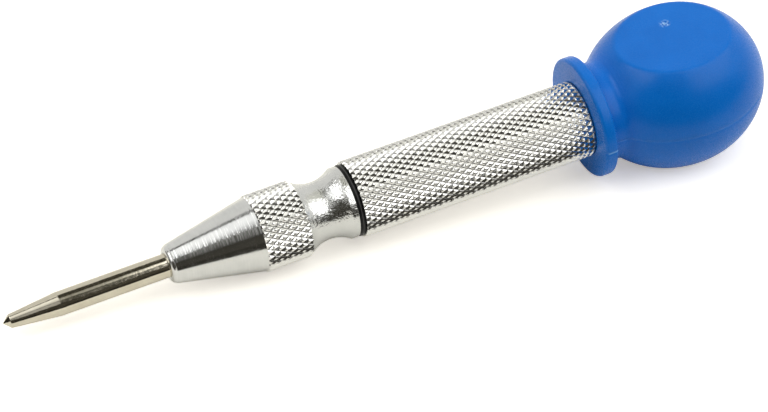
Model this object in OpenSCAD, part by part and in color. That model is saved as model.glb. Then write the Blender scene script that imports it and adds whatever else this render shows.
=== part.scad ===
// Automatic center punch with a palm grip.
// The tool lies along X, its point towards -X, its grip flats facing up and down.
// The origin is under the middle of the tool, on the surface that it lies on.
// Pushing the point in loads the hammer until the trip pin stands straight and lets it go.

/* [Punch point] */
// Diameter of the shank that slides in the nose
shank_d = 4; // [3.4:0.1:4.6]
// How far the point stands out of the nose at rest
point_out = 27.9; // [20:0.1:36]
// How far the point goes in before the hammer is let go
stroke = 9; // [7:0.5:10]
// Length of the ground tip
tip_l = 1.15; // [0.8:0.05:1.6]
// Diameter behind the ground tip
tip_d = 2.3; // [1.6:0.1:3]
// Length of the slim taper behind the tip
taper_l = 8.2; // [5:0.1:12]
// Diameter of the head that stops the point in the nose
head_d = 7.6; // [7:0.1:7.8]
// Length of the head
head_l = 5.7; // [4:0.1:7]

/* [Nose sleeve] */
// Diameter over the knurled collar and the knurled barrel
body_d = 13; // [12.8:0.1:14]
// Length of the cone
cone_l = 15.2; // [12:0.1:20]
// Diameter of the cone's front edge
cone_front_d = 6.3; // [6:0.1:7.4]
// Radius of the round on the cone's front edge
cone_round = 0.75; // [0.3:0.05:1]
// Step from the cone's rear edge up to the knurled collar
collar_step = 0.22; // [0.1:0.02:0.4]
// Length of the knurled collar
collar_l = 7.8; // [5:0.1:10]
// Chamfer on the collar's rear edge
collar_chamfer = 0.175; // [0.1:0.025:0.3]
// Smallest diameter of the neck
neck_d = 9.8; // [9.4:0.1:10.6]
// Radius of the groove that makes the neck
neck_groove_r = 6; // [4:0.1:8]
// Depth of the rim behind the neck below the knurl
rim_step = 0.45; // [0.3:0.05:0.6]
// Width of the rim behind the neck
rim_l = 1.05; // [0.6:0.05:2]
// Wall of the nose in front of the head
nose_stop_l = 16.1; // [14:0.1:20]
// Diameter of the thread that holds the nose in the barrel
nose_thread_d = 9.9; // [9.8:0.1:10.6]
// Length of that thread
nose_thread_l = 6; // [4:0.1:7]

/* [Seal ring] */
// Width of the ring where it is squeezed
seal_w = 1; // [0.7:0.05:1.2]
// How far the ring stands out beyond the rim
seal_proud = 0.07; // [0.02:0.01:0.2]

/* [Barrel] */
// Length of barrel that shows between the seal ring and the grip
barrel_show = 41.3; // [38:0.1:48]
// Diameter of the plain land that runs on inside the grip
land_d = 12.3; // [12.2:0.1:12.5]
// Length of that land
land_l = 7.3; // [6.5:0.1:8]
// Chamfer on the ends of the knurl
knurl_chamfer = 0.15; // [0.1:0.05:0.3]
// Depth of the return spring's chamber behind the barrel's front face
chamber_l = 16.1; // [15:0.1:18]
// Diameter of the return spring's chamber
chamber_d = 9.2; // [8.8:0.1:9.6]
// Thickness of the web with the cam hole
web_t = 5.5; // [4.5:0.1:7]
// Diameter of the cam hole's mouth
cam_mouth_d = 7.2; // [6.4:0.1:7.4]
// Length of the straight land behind the cam hole's taper
cam_land_l = 1.5; // [1:0.1:2]
// Diameter of the hammer's bore
bore_d = 9.5; // [9.2:0.1:10]
// Diameter of the thread that carries the grip
rear_thread_d = 12; // [11.8:0.1:12.1]

/* [Trip pin] */
// Diameter of the trip pin's body
pin_d = 4; // [3.6:0.1:4.4]
// Diameter of the stem that pushes the hammer
stem_d = 2.2; // [1.8:0.1:2.4]
// Diameter of the ball end that rocks in the punch point
pin_ball_d = 3; // [2.6:0.1:3.6]
// Diameter of the flange that the return spring pushes on
pin_flange_d = 6.3; // [6:0.1:6.6]
// Thickness of that flange
pin_flange_t = 1.4; // [1:0.1:2]
// Length of bare neck between the ball end and the flange
pin_neck_l = 1.2; // [0.8:0.1:2]
// Length of the shoulder cone between the body and the stem
pin_cone_l = 2; // [1.5:0.1:2.5]
// How far the stem's end stands off the axis at rest
pin_offset = 0.85; // [0.75:0.05:0.9]

/* [Hammer] */
// Length of the hammer
hammer_l = 16; // [12:0.5:18]
// Chamfer on the hammer's edges
hammer_chamfer = 0.6; // [0.3:0.1:1]
// Length of the spigot that centres the main spring
spigot_l = 3; // [2:0.1:4]

/* [Springs] */
// Wire of the return spring
return_wire_d = 0.5; // [0.4:0.05:0.6]
// Turns of the return spring
return_turns = 10; // [7:1:12]
// Wire of the main spring
main_wire_d = 1.3; // [1:0.05:1.4]
// Turns of the main spring
main_turns = 10; // [7:1:10]
// Gap between the close turns at a spring's ends
dead_gap = 0.5; // [0.45:0.05:0.6]
// Room round the outside of a spring
spring_room = 0.4; // [0.3:0.05:0.5]
// Room inside a spring
spring_inside = 0.25; // [0.2:0.05:0.3]

/* [Spring seat and cap insert] */
// Length of the spring seat that stays in the barrel when the grip is screwed right out
seat_guide = 0.6; // [0.3:0.1:1]
// Outside diameter of the cap insert
insert_d = 15.6; // [14.8:0.1:16]
// Depth of the cap insert
insert_depth = 16.85; // [15.5:0.05:18]
// Thickness of the cap insert's closed end
insert_floor_t = 2.5; // [1.5:0.1:3.5]
// Depth of the groove that keys the insert in the plastic
key_groove_depth = 0.6; // [0.3:0.1:0.8]
// Width of that groove
key_groove_w = 3; // [2:0.1:5]
// How far the grip can be screwed out
unscrew_l = 3; // [1:0.5:4]

/* [Grip] */
// Diameter of the flange
flange_d = 20.6; // [19:0.1:21]
// Thickness of the flange
flange_t = 2.2; // [1.6:0.1:2.6]
// Radius of the round on the flange's edges
flange_round = 0.55; // [0.3:0.05:0.8]
// Radius of the fillet behind the flange
flange_fillet = 0.4; // [0.2:0.05:0.6]
// Diameter of the neck between the flange and the ball
grip_neck_d = 16.8; // [16:0.1:17.6]
// Radius of the blend from the neck into the ball
grip_blend_r = 2; // [1:0.1:2.5]
// Largest diameter of the ball
ball_d = 27.4; // [26:0.1:32]
// Distance from the flange's front to the thickest place of the ball
ball_centre = 17.7; // [17:0.1:22]
// Length of the ball's front half, if it ran on to a point on the axis
ball_front_l = 16.1; // [15:0.1:17]
// Length of the ball's rear half
ball_rear_l = 15.3; // [13:0.1:18]
// Distance across the two flats
flats_w = 21.3; // [21.1:0.1:24]

/* [Fits] */
// Radial clearance of a sliding fit
slide_gap = 0.05; // [0.02:0.01:0.08]
// Radial clearance of a looser guide
guide_gap = 0.1; // [0.06:0.01:0.14]
// Radial clearance of a thread drawn plain
thread_gap = 0.05; // [0.02:0.01:0.1]
// Gap between faces that rest on each other and move apart
rest_gap = 0.1; // [0.05:0.01:0.15]
// Gap left at the ends that never touch
end_gap = 0.3; // [0.2:0.05:0.4]
// Gap between the insert and the plastic moulded round it
mould_gap = 0.02; // [0.01:0.01:0.05]

/* [Hidden] */
$fn = 96;

// Radii
shank_r = shank_d / 2;
head_r = head_d / 2;
body_r = body_d / 2;
neck_r = neck_d / 2;
rim_r = body_r - rim_step;
cone_front_r = cone_front_d / 2;
cone_rear_r = body_r - collar_step;
nose_bore_r = shank_r + slide_gap;
counterbore_r = head_r + guide_gap;
nose_thread_r = nose_thread_d / 2;
rear_thread_r = rear_thread_d / 2;
land_r = land_d / 2;
front_bore_r = nose_thread_r + thread_gap;
insert_bore_r = rear_thread_r + thread_gap;
mouth_r = land_r + guide_gap;
chamber_r = chamber_d / 2;
bore_r = bore_d / 2;
hammer_r = bore_r - slide_gap;
pin_r = pin_d / 2;
stem_r = stem_d / 2;
pin_ball_r = pin_ball_d / 2;
pin_flange_r = pin_flange_d / 2;
cam_r = pin_r + guide_gap;
hammer_hole_r = stem_r + guide_gap;
insert_r = insert_d / 2;
flange_r = flange_d / 2;
grip_neck_r = grip_neck_d / 2;
ball_r = ball_d / 2;
seal_r = rim_r + seal_proud;

// Places along the tool, measured from the tip
x_nose = point_out;
x_collar = x_nose + cone_l;
x_neck = x_collar + collar_l;
neck_start_r = body_r - collar_chamfer;
neck_axis_r = neck_r + neck_groove_r;
neck_front_l = sqrt(pow(neck_groove_r, 2) - pow(neck_axis_r - neck_start_r, 2));
neck_rear_l = sqrt(pow(neck_groove_r, 2) - pow(neck_axis_r - rim_r, 2));
x_neck_low = x_neck + neck_front_l;
x_rim_end = x_neck_low + neck_rear_l + rim_l;
x_barrel = x_rim_end + seal_w;
x_nose_end = x_barrel + nose_thread_l;
x_head = x_nose + nose_stop_l + rest_gap;
x_head_end = x_head + head_l;
x_flange_pin = x_head_end + pin_neck_l;
x_return = x_flange_pin + pin_flange_t + rest_gap;
x_web = x_barrel + chamber_l;
x_web_end = x_web + web_t;
x_stem_end = x_web_end - rest_gap;
x_pin_shoulder = x_web_end - cam_land_l / 2 - stroke;
x_hammer = x_web_end + rest_gap / 2;
x_hammer_end = x_hammer + hammer_l;
x_grip = x_barrel + barrel_show;
x_knurl_end = x_grip - rest_gap;
x_land_end = x_grip + land_l;
x_insert = x_land_end + end_gap;
x_floor = x_insert + insert_depth;
x_barrel_end = x_floor - end_gap;
x_seat_end = x_floor - rest_gap / 2;
x_seat = x_barrel_end - unscrew_l - seat_guide;
x_insert_end = x_floor + insert_floor_t;
x_ball = x_grip + ball_centre;
overall_l = x_ball + ball_rear_l;

// Height of the tool's axis above the surface
axis_h = max(flats_w, flange_d) / 2;

// Tilt of the trip pin at rest, about its ball end
pin_tilt = atan(pin_offset / (x_stem_end - x_head_end));
// Depth at which the stem strikes the bottom of the hammer's hole
hammer_hole_l = x_stem_end - x_pin_shoulder - pin_cone_l - end_gap;
// Where the ball's outline leaves the neck, and its slope there
leave_angle = asin(grip_neck_r / ball_r);
x_leave = x_ball - ball_front_l * cos(leave_angle);
leave_slope = atan(ball_r * cos(leave_angle) / (ball_front_l * sin(leave_angle)));
x_blend = x_leave - grip_blend_r * tan(leave_slope / 2);
x_blend_end = x_blend + grip_blend_r * sin(leave_slope);
blend_angle = acos((x_ball - x_blend_end) / ball_front_l);

// Slope of the cone
cone_slope = atan((cone_rear_r - cone_front_r) / cone_l);

// Section rounds, how far a cut runs past a face, and the sides of a wire
small_round = 0.3;
cut_past = 1;
arc_steps = 8;
ball_steps = 22;
wire_sides = 6;
rings_per_turn = 12;
dead_turns = 1;

// Points of an arc, given as [radius, place] pairs
function arc(centre, r, from, to, steps = arc_steps) =
    [for (i = [0:steps])
        let (a = from + (to - from) * i / steps)
        [centre[0] + r * cos(a), centre[1] + r * sin(a)]];

// Points along a quarter of the ball's outline, from one angle to another
function ball_quarter(half_l, from, to) =
    [for (i = [0:ball_steps])
        let (a = from + (to - from) * i / ball_steps)
        [ball_r * sin(a), x_ball - half_l * cos(a)]];

// A solid turned about the tool's axis from [radius, place] points
module turned(outline) {
    on_axis()
        rotate_extrude()
            polygon(outline);
}

// Moves a shape that stands along Z on to the tool's axis
module on_axis() {
    translate([-overall_l / 2, 0, axis_h])
        rotate([0, 90, 0])
            children();
}

// A hole about the tool's axis, widening or narrowing from one place to the next
module hole(x0, r0, x1, r1) {
    on_axis()
        translate([0, 0, x0])
            cylinder(h = x1 - x0, r1 = r0, r2 = r1);
}

// Place along a spring after some turns, with close turns at both ends
function spring_place(t, length, wire_d, turns) =
    let (dead_pitch = wire_d + dead_gap,
         open_pitch = (length - wire_d - 2 * dead_turns * dead_pitch) / (turns - 2 * dead_turns),
         in_front = min(t, dead_turns),
         in_rear = max(t - (turns - dead_turns), 0),
         between = t - in_front - in_rear)
    wire_d / 2 + (in_front + in_rear) * dead_pitch + between * open_pitch;

// Middle points of a spring's wire, about the Z axis
function spring_path(length, wire_d, turns, front_r, rear_r) =
    [for (i = [0:turns * rings_per_turn])
        let (t = i / rings_per_turn,
             r = front_r + (rear_r - front_r) * t / turns)
        [r * cos(360 * t), r * sin(360 * t), spring_place(t, length, wire_d, turns)]];

// Least gap between the turns of a spring
function least_gap(path, wire_d) =
    min([for (i = [0:len(path) - 1])
        for (j = [i + rings_per_turn / 2:1:len(path) - 1])
            norm(path[i] - path[j])]) - wire_d;

// A wound wire as one unbroken tube of triangles
module wire_tube(path, wire_d) {
    last = len(path) - 1;
    points = [for (i = [0:last])
        let (turn = 360 * i / rings_per_turn)
        for (j = [0:wire_sides - 1])
            let (a = 360 * j / wire_sides)
            path[i] + wire_d / 2 * [cos(a) * cos(turn), cos(a) * sin(turn), sin(a)]];
    sides = [for (i = [0:last - 1])
        for (j = [0:wire_sides - 1])
            let (k = (j + 1) % wire_sides,
                 a = i * wire_sides + j,
                 b = i * wire_sides + k,
                 c = a + wire_sides,
                 d = b + wire_sides)
            each [[a, b, d], [a, d, c]]];
    front = [for (j = [1:wire_sides - 2]) [0, j + 1, j]];
    base = last * wire_sides;
    rear = [for (j = [1:wire_sides - 2]) [base, base + j, base + j + 1]];
    polyhedron(points, concat(sides, front, rear));
}

return_l = x_web - rest_gap - x_return;
return_path = spring_path(return_l, return_wire_d, return_turns,
                          pin_r + spring_inside + return_wire_d / 2,
                          chamber_r - spring_room - return_wire_d / 2);
main_r = bore_r - spring_room - main_wire_d / 2;
main_l = x_seat - x_hammer_end - rest_gap;
main_path = spring_path(main_l, main_wire_d, main_turns, main_r, main_r);
spigot_r = main_r - main_wire_d / 2 - spring_inside;
echo(return_spring_least_gap = least_gap(return_path, return_wire_d));
echo(main_spring_least_gap = least_gap(main_path, main_wire_d));

// Polished pin with a ground tip, a slim taper and a head with a cup in its rear face
module punch_point() {
    color("#b9b39c")
        difference() {
            turned(concat(
                [[0, 0],
                 [tip_d / 2, tip_l],
                 [shank_r, tip_l + taper_l],
                 [shank_r, x_head],
                 [head_r - small_round, x_head],
                 [head_r, x_head + small_round],
                 [head_r, x_head_end - small_round],
                 [head_r - small_round, x_head_end],
                 [0, x_head_end]]));
            on_axis()
                translate([0, 0, x_head_end])
                    sphere(r = pin_ball_r + guide_gap);
        }
}

// Stepped pin, crooked at rest, that rocks in the punch point's cup
module trip_pin() {
    place = [x_head_end - overall_l / 2, 0, axis_h];
    color("#8f8d88")
        translate(place)
            rotate([0, pin_tilt, 0])
                translate(-place)
                    turned(concat(
                        arc([0, x_head_end], pin_ball_r, -90, 0),
                        [[pin_ball_r, x_flange_pin],
                         [pin_flange_r, x_flange_pin],
                         [pin_flange_r, x_flange_pin + pin_flange_t],
                         [pin_r, x_flange_pin + pin_flange_t],
                         [pin_r, x_pin_shoulder],
                         [stem_r, x_pin_shoulder + pin_cone_l],
                         [stem_r, x_stem_end - small_round],
                         [stem_r - small_round, x_stem_end],
                         [0, x_stem_end]]));
}

// Light conical spring that pushes the trip pin and the point forward
module return_spring() {
    color("#a7a9a8")
        on_axis()
            translate([0, 0, x_return])
                wire_tube(return_path, return_wire_d);
}

// Turned nose: cone, collar, waisted neck, rim and threaded spigot, bored for the point
module nose_sleeve() {
    front_round = min(cone_round, cone_front_r - nose_bore_r - small_round);
    outline = concat(
        [[0, x_nose]],
        arc([cone_front_r - front_round, x_nose + front_round], front_round, -90, -cone_slope),
        [[cone_rear_r, x_collar],
         [body_r, x_collar + collar_step],
         [body_r, x_neck - collar_chamfer],
         [neck_start_r, x_neck]],
        arc([neck_axis_r, x_neck_low], neck_groove_r,
            180 + asin(neck_front_l / neck_groove_r),
            180 - asin(neck_rear_l / neck_groove_r), ball_steps),
        [[rim_r, x_rim_end],
         [nose_thread_r, x_rim_end],
         [nose_thread_r, x_nose_end - small_round],
         [nose_thread_r - small_round, x_nose_end],
         [0, x_nose_end]]);
    color("#d6d6d3")
        difference() {
            turned(outline);
            hole(x_nose - cut_past, nose_bore_r, x_nose_end, nose_bore_r);
            hole(x_nose + nose_stop_l, counterbore_r, x_nose_end + cut_past, counterbore_r);
        }
}

// Rubber ring squeezed flat between the rim and the barrel
module seal_ring() {
    section_r = (seal_r - front_bore_r) / 2;
    squeeze = min(seal_w / 2, section_r);
    reach = asin(squeeze / section_r);
    middle = [front_bore_r + section_r, x_rim_end + seal_w / 2];
    color("#1b1b1d")
        turned(concat(
            arc(middle, section_r, -reach, reach),
            arc(middle, section_r, 180 - reach, 180 + reach)));
}

// Knurled tube with the return spring's chamber, the web with its cam hole and the hammer's bore
module barrel() {
    color("#c9cac9")
        difference() {
            turned([[0, x_barrel],
                    [body_r - knurl_chamfer, x_barrel],
                    [body_r, x_barrel + knurl_chamfer],
                    [body_r, x_knurl_end - knurl_chamfer],
                    [body_r - knurl_chamfer, x_knurl_end],
                    [land_r, x_knurl_end],
                    [land_r, x_land_end],
                    [rear_thread_r, x_land_end],
                    [rear_thread_r, x_barrel_end - small_round],
                    [rear_thread_r - small_round, x_barrel_end],
                    [0, x_barrel_end]]);
            hole(x_barrel - cut_past, front_bore_r, x_nose_end + end_gap, front_bore_r);
            hole(x_barrel, chamber_r, x_web, chamber_r);
            hole(x_web, cam_mouth_d / 2, x_web_end - cam_land_l, cam_r);
            hole(x_web, cam_r, x_web_end + cut_past, cam_r);
            hole(x_web_end, bore_r, x_barrel_end + cut_past, bore_r);
        }
}

// Striker with a blind hole for the stem and a spigot for the main spring
module hammer() {
    color("#77787a")
        difference() {
            turned([[0, x_hammer],
                    [hammer_r - hammer_chamfer, x_hammer],
                    [hammer_r, x_hammer + hammer_chamfer],
                    [hammer_r, x_hammer_end - hammer_chamfer],
                    [hammer_r - hammer_chamfer, x_hammer_end],
                    [spigot_r, x_hammer_end],
                    [spigot_r, x_hammer_end + spigot_l - small_round],
                    [spigot_r - small_round, x_hammer_end + spigot_l],
                    [0, x_hammer_end + spigot_l]]);
            hole(x_hammer - cut_past, hammer_hole_r, x_hammer + hammer_hole_l, hammer_hole_r);
        }
}

// Strong spring that drives the hammer
module main_spring() {
    color("#6d6f70")
        on_axis()
            translate([0, 0, x_hammer_end + rest_gap / 2])
                wire_tube(main_path, main_wire_d);
}

// Button that carries the main spring's rear end and slides in the hammer's bore
module spring_seat() {
    seat_r = bore_r - guide_gap;
    color("#b08d4c")
        turned([[0, x_seat - spigot_l],
                [spigot_r - small_round, x_seat - spigot_l],
                [spigot_r, x_seat - spigot_l + small_round],
                [spigot_r, x_seat],
                [seat_r, x_seat],
                [seat_r, x_seat_end - small_round],
                [seat_r - small_round, x_seat_end],
                [0, x_seat_end]]);
}

// Outline of the insert from its front face to its closed end, grown all round by a gap
function insert_outline(gap) =
    let (groove = (x_insert + x_insert_end) / 2,
         half = key_groove_w / 2 - gap,
         groove_r = insert_r - key_groove_depth + gap)
    [[0, x_insert - gap],
     [insert_r + gap, x_insert - gap],
     [insert_r + gap, groove - half],
     [groove_r, groove - half],
     [groove_r, groove + half],
     [insert_r + gap, groove + half],
     [insert_r + gap, x_insert_end + gap],
     [0, x_insert_end + gap]];

// Threaded cap moulded into the grip, which screws on the barrel's rear end
module cap_insert() {
    color("#9a9b9b")
        difference() {
            turned(insert_outline(0));
            hole(x_insert - cut_past, insert_bore_r, x_floor, insert_bore_r);
        }
}

// Moulded palm grip: flange, neck and a ball with two flats
module grip_cap() {
    edge = min(flange_round, flange_t / 2);
    x_flange_end = x_grip + flange_t;
    outline = concat(
        [[0, x_grip]],
        arc([flange_r - edge, x_grip + edge], edge, -90, 0),
        arc([flange_r - edge, x_flange_end - edge], edge, 0, 90),
        arc([grip_neck_r + flange_fillet, x_flange_end + flange_fillet], flange_fillet, 270, 180),
        arc([grip_neck_r + grip_blend_r, x_blend], grip_blend_r, 180, 180 - leave_slope),
        ball_quarter(ball_front_l, blend_angle + (90 - blend_angle) / ball_steps, 90),
        ball_quarter(ball_rear_l, 90 + 90 / ball_steps, 180));
    color("#2a6fc4")
        difference() {
            turned(outline);
            hole(x_grip - cut_past, mouth_r, x_insert, mouth_r);
            turned(insert_outline(mould_gap));
            for (side = [-1, 1])
                translate([0, 0, axis_h + side * (flats_w / 2 + ball_r)])
                    cube([2 * overall_l, 4 * ball_r, 2 * ball_r], center = true);
        }
}

punch_point();
trip_pin();
return_spring();
nose_sleeve();
seal_ring();
barrel();
hammer();
main_spring();
spring_seat();
cap_insert();
grip_cap();
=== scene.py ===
# %% [markdown]
# # An automatic center punch
# The punch marks a drill hole with one hand: its point is pressed on the spot until a hidden hammer
# trips and strikes. The solids of the construction come in first, as a fixed frame that is never moved,
# and the cells below dress them: turned metal, a cut knurl, a rubber ring and a moulded grip.

# %% Load the frame
import math

import bmesh
import bpy
import numpy as np
from mathutils import Matrix, Vector


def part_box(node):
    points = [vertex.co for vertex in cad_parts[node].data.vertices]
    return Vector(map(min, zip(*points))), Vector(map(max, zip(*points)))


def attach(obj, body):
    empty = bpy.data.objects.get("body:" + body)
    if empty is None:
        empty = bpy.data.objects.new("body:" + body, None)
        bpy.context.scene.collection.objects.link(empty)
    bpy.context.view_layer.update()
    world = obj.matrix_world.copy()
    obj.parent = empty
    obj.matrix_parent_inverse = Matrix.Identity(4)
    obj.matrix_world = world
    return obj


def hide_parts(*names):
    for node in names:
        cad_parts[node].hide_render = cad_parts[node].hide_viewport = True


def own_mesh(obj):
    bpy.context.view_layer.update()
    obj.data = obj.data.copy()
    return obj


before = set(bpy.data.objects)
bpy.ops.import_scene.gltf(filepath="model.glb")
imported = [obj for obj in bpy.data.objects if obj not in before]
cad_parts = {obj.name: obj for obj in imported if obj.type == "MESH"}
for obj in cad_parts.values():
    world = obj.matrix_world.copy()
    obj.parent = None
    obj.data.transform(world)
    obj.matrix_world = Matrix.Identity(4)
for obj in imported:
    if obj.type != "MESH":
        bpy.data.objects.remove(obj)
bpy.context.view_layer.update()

scene = bpy.context.scene
scene.view_settings.view_transform = "Standard"

# %% [markdown]
# ## Places along the tool
# Everything on this tool is turned about one axis, so a place along that axis and a radius say where a
# surface is. The places could be typed in, but the frame knows the ends of each solid, so they are read
# from it, and sizes between those ends are named where they are first used. Lengths in this script are
# millimetres until a mesh is made.

# %% Ends of the solids
MM = 0.001


def span(node):
    """First and last place of a solid along the tool, in millimetres."""
    low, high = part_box(node)
    return low.x / MM, high.x / MM


tip, point_end = span("punch_point")
nose_front, nose_end = span("nose_sleeve")
seal_front, seal_end = span("seal_ring")
barrel_front, barrel_end = span("barrel")
insert_front, insert_end = span("cap_insert")
grip_front, grip_end = span("grip_cap")
flats_low, flats_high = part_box("grip_cap")
axis_height = (flats_low.z + flats_high.z) / 2 / MM
print(f"tip at {tip:.2f}, grip ends at {grip_end:.2f}, axis {axis_height:.2f} mm above the surface")

# %% [markdown]
# ## The camera
# The outline in the photograph fits a view from a little over half a metre, through a long lens, down at
# the tool with its point to the left. A camera could track a target, but it is simplest to state as a
# target, a direction and a distance: its three axes follow from the direction, and the roll turns them
# about the line of sight.

# %% Camera at the photograph's viewpoint
AZIMUTH, ELEVATION, ROLL = (math.radians(angle) for angle in (-20.83, 43.26, -5.08))
DISTANCE = 572.6 * MM
TARGET = Vector((-1.44, 0, 6.70)) * MM
SENSOR = 36
FOCAL_PIXELS, IMAGE_WIDTH = 3500, 768

back = Vector((math.sin(AZIMUTH) * math.cos(ELEVATION),
               -math.cos(AZIMUTH) * math.cos(ELEVATION),
               math.sin(ELEVATION)))
right = Vector((math.cos(AZIMUTH), math.sin(AZIMUTH), 0))
up = back.cross(right)
camera = bpy.data.objects.new("camera", bpy.data.cameras.new("camera"))
camera.data.sensor_width = SENSOR
camera.data.lens = SENSOR * FOCAL_PIXELS / IMAGE_WIDTH
camera.matrix_world = Matrix.Translation(TARGET + DISTANCE * back) @ Matrix((
    math.cos(ROLL) * right + math.sin(ROLL) * up,
    math.cos(ROLL) * up - math.sin(ROLL) * right,
    back)).transposed().to_4x4()
scene.collection.objects.link(camera)
scene.camera = camera
print(f"lens {camera.data.lens:.1f} mm at {DISTANCE:.3f} m")

# %% [markdown]
# ## The table
# The tool lies on white paper. The ball of the grip is thicker than the barrel, so the tool tips forward
# until its flange and the collar of the nose both touch. The frame is never moved, so the table is
# tilted and not the tool: it is a plane through those two places, a hair lower.

# %% Plane under collar and flange
BODY_R, FLANGE_R = 6.5, 10.3
COLLAR_EDGE, FLANGE_EDGE = 15.4, 1.6
TABLE_GAP, TABLE_HALF = 0.04, 3000

collar_touch, collar_bottom = nose_front + COLLAR_EDGE, axis_height - BODY_R
flange_touch, flange_bottom = grip_front + FLANGE_EDGE, axis_height - FLANGE_R
table_slope = (flange_bottom - collar_bottom) / (flange_touch - collar_touch)


def table_height(x):
    """Height of the table under a place along the tool."""
    return collar_bottom - TABLE_GAP + table_slope * (x - collar_touch)


table_corners = ((-TABLE_HALF, -TABLE_HALF), (TABLE_HALF, -TABLE_HALF),
                 (TABLE_HALF, TABLE_HALF), (-TABLE_HALF, TABLE_HALF))
table_mesh = bpy.data.meshes.new("table")
table_mesh.from_pydata([(x * MM, y * MM, table_height(x) * MM) for x, y in table_corners],
                       [], [(0, 1, 2, 3)])
table = bpy.data.objects.new("table", table_mesh)
scene.collection.objects.link(table)
print(f"table slopes {math.degrees(math.atan(table_slope)):.2f} degrees")

# %% [markdown]
# ## Small helpers for node trees
# Materials, shader groups and Geometry Nodes are built the same way: a node is added, its settings are
# set, and each input gets a plain value or another node's socket. That could be spelled out line by line,
# but two short helpers keep the trees below readable.

# %% Node helpers
def add_node(tree, kind, inputs=None, **settings):
    """Adds a node, with its settings and with a value or a socket for each named input."""
    node = tree.nodes.new(kind)
    for name, value in settings.items():
        setattr(node, name, value)
    for key, value in (inputs or {}).items():
        if isinstance(value, bpy.types.NodeSocket):
            tree.links.new(value, node.inputs[key])
        else:
            node.inputs[key].default_value = value
    return node


def calc(tree, operation, first, second=0.0):
    """Output socket of a Math node."""
    return add_node(tree, "ShaderNodeMath", {0: first, 1: second}, operation=operation).outputs[0]


print("helpers: add_node, calc")

# %% [markdown]
# ## White paper
# The paper is a plain diffuse white. More light could lift it to the white of the photograph, but would
# wash out the tool, so the paper glows by itself: enough for the camera to leave only the deep part of
# the shadow, and barely for rays from metal and glass. The glow is a little warm, which takes the blue
# of the grip out of its shadow.

# %% Paper that glows
PAPER, GLOW_COLOUR = (0.97, 0.955, 0.90, 1), (1, 0.955, 0.9, 1)
SEEN_GLOW, MIRRORED_GLOW = 0.43, 0.02


def paper_material():
    """Diffuse white that glows a little for camera, mirror and glass rays."""
    material = bpy.data.materials.new("white_paper")
    material.use_nodes = True
    tree = material.node_tree
    tree.nodes.clear()
    path = tree.nodes.new("ShaderNodeLightPath").outputs
    mirrored = calc(tree, "MAXIMUM", path["Is Glossy Ray"], path["Is Transmission Ray"])
    strength = calc(tree, "ADD", calc(tree, "MULTIPLY", path["Is Camera Ray"], SEEN_GLOW),
                    calc(tree, "MULTIPLY", mirrored, MIRRORED_GLOW))
    paper = add_node(tree, "ShaderNodeBsdfDiffuse", {"Color": PAPER})
    glow = add_node(tree, "ShaderNodeEmission", {"Color": GLOW_COLOUR, "Strength": strength})
    both = add_node(tree, "ShaderNodeAddShader", {0: paper.outputs[0], 1: glow.outputs[0]})
    add_node(tree, "ShaderNodeOutputMaterial", {"Surface": both.outputs[0]})
    return material


table_mesh.materials.append(paper_material())
print("table is", table_mesh.materials[0].name)

# %% [markdown]
# ## The lamps
# Bright metal shows the room more than itself, and the bands on the cone, the neck and the point say what
# hung over the table: a soft lamp on the left, whose inner half fades towards the camera, a wide one on
# the right, and a dim glow in front. A picture of a studio could give all of it, but no picture is loaded
# here, so the lamps are level area lights. Such a light has one strength, so the fade is a row of panels.

# %% Lamps
LAMP_HEIGHT, LAMP_FAR, LEFT_NEAR = 600, 340, -300
LEFT_SIDES, INNER_SIDES, RIGHT_SIDES, GLOW_SIDES = (-480, -210), (-210, 8), (75, 1400), (-135, 30)
RIGHT_ENDS, GLOW_ENDS, GLOW_DROP = (-1050, 45), (-715, -290), 8
LEFT_LIGHT, INNER_LIGHT, RIGHT_LIGHT, DIM_LIGHT = 2.2, 1.26, 1.38, 0.45
FADE_START, FADE_STEP, FADE = 20, 60, (1.22, 1.12, 0.92, 0.62, 0.33)


def lamp_panel(name, sides, ends, radiance, drop=0):
    """A level lamp that glows with the same brightness all over."""
    light = bpy.data.lights.new(name, "AREA")
    light.shape = "RECTANGLE"
    light.size = (sides[1] - sides[0]) * MM
    light.size_y = (ends[1] - ends[0]) * MM
    light.energy = radiance * math.pi * light.size * light.size_y
    lamp = bpy.data.objects.new(name, light)
    lamp.location = Vector((sum(sides) / 2, sum(ends) / 2, LAMP_HEIGHT - drop)) * MM
    scene.collection.objects.link(lamp)
    print(f"{name}: {light.energy:.2f} W over {light.size:.2f} by {light.size_y:.2f} m")


lamp_panel("left_lamp", LEFT_SIDES, (LEFT_NEAR, LAMP_FAR), LEFT_LIGHT)
lamp_panel("inner_lamp", INNER_SIDES, (FADE_START, LAMP_FAR), INNER_LIGHT)
for step, radiance in enumerate(FADE):
    far_end = FADE_START - step * FADE_STEP
    lamp_panel(f"inner_fade_{step}", INNER_SIDES, (far_end - FADE_STEP, far_end), radiance)
lamp_panel("glow", GLOW_SIDES, GLOW_ENDS, DIM_LIGHT, GLOW_DROP)
lamp_panel("right_lamp", RIGHT_SIDES, RIGHT_ENDS, RIGHT_LIGHT)

# %% [markdown]
# ## The pale room
# Where no lamp and no card shows, the metal mirrors pale walls. Four modelled walls could stand there,
# but a world of one pale colour looks the same in small curved metal.

# %% Pale world
WORLD_COLOUR = (0.86, 0.85, 0.825, 1)

world = bpy.data.worlds.new("pale_room")
world.use_nodes = True
world.node_tree.nodes["Background"].inputs["Color"].default_value = WORLD_COLOUR
scene.world = world
print("world:", world.name)

# %% [markdown]
# ## Dark cards
# The darker bands in the metal are gaps between lamps and the dark room behind the camera. They could be
# painted into the metal, but would stay put when the tool turns, so cards stand round the table, as in a
# photographer's studio, unseen by the camera. The room is taller on the left than on the right, a card on
# the far left darkens the tip, and a low strip along the end of the paper, which casts no shadow, draws
# the dark line along the lower side of the metal.

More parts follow.
